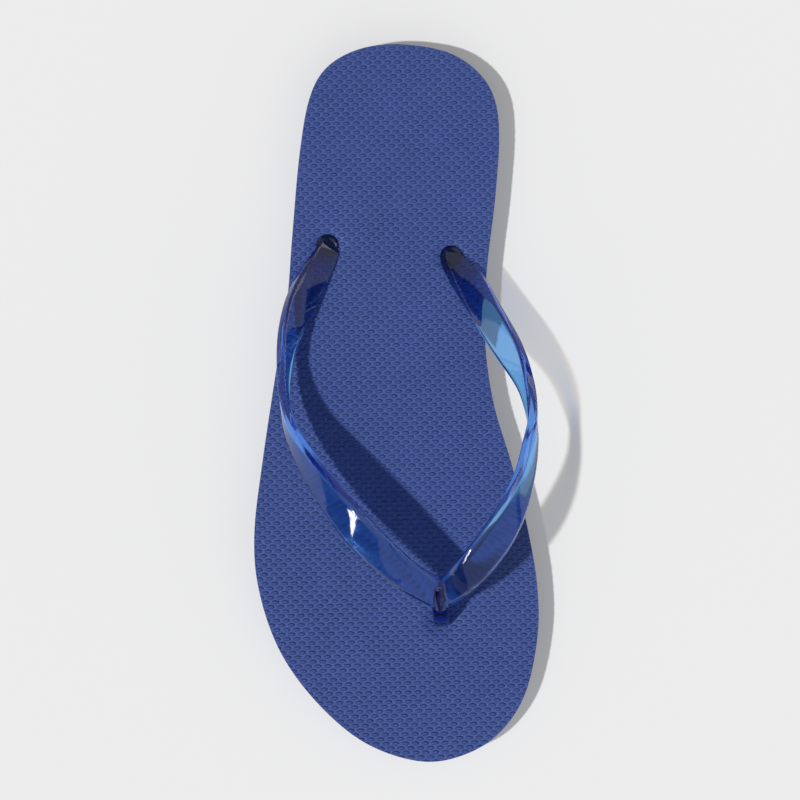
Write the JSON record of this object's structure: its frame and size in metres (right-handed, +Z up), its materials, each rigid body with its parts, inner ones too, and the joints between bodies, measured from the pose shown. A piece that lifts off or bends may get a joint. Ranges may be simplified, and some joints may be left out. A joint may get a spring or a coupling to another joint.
{
  "type": "flip flop",
  "caption": "Right-foot flip flop: embossed foam sole that bends at the ball of the foot, with a translucent moulded thong strap held by plugs under the sole.",
  "frame": {"origin": "centre of the bounding box in plan, on the underside of the sole", "axes": "+Y from the toe to the heel, +X toward the big-toe side, +Z up from the ground"},
  "size_m": [0.1011, 0.255, 0.0494],
  "materials": {
    "foam": "matte embossed EVA foam",
    "strap": "glossy translucent soft PVC"
  },
  "bodies": {
    "rear_sole": {"footbed_rear": "foam", "outsole_rear": "foam", "medial_band": "strap", "lateral_band": "strap", "medial_plug": "strap", "lateral_plug": "strap"},
    "forefoot": {"footbed_front": "foam", "outsole_front": "foam", "toe_post": "strap", "toe_plug": "strap"}
  },
  "joints": [
    {"name": "ball_flex", "type": "hinge", "parent": "rear_sole", "child": "forefoot", "pos_m": [0, -0.045, 0.013], "axis": [-1, 0, 0], "range_deg": [0, 45], "stiffness_Nm_per_rad": 0.7, "deforming": ["medial_band", "lateral_band"]}
  ]
}
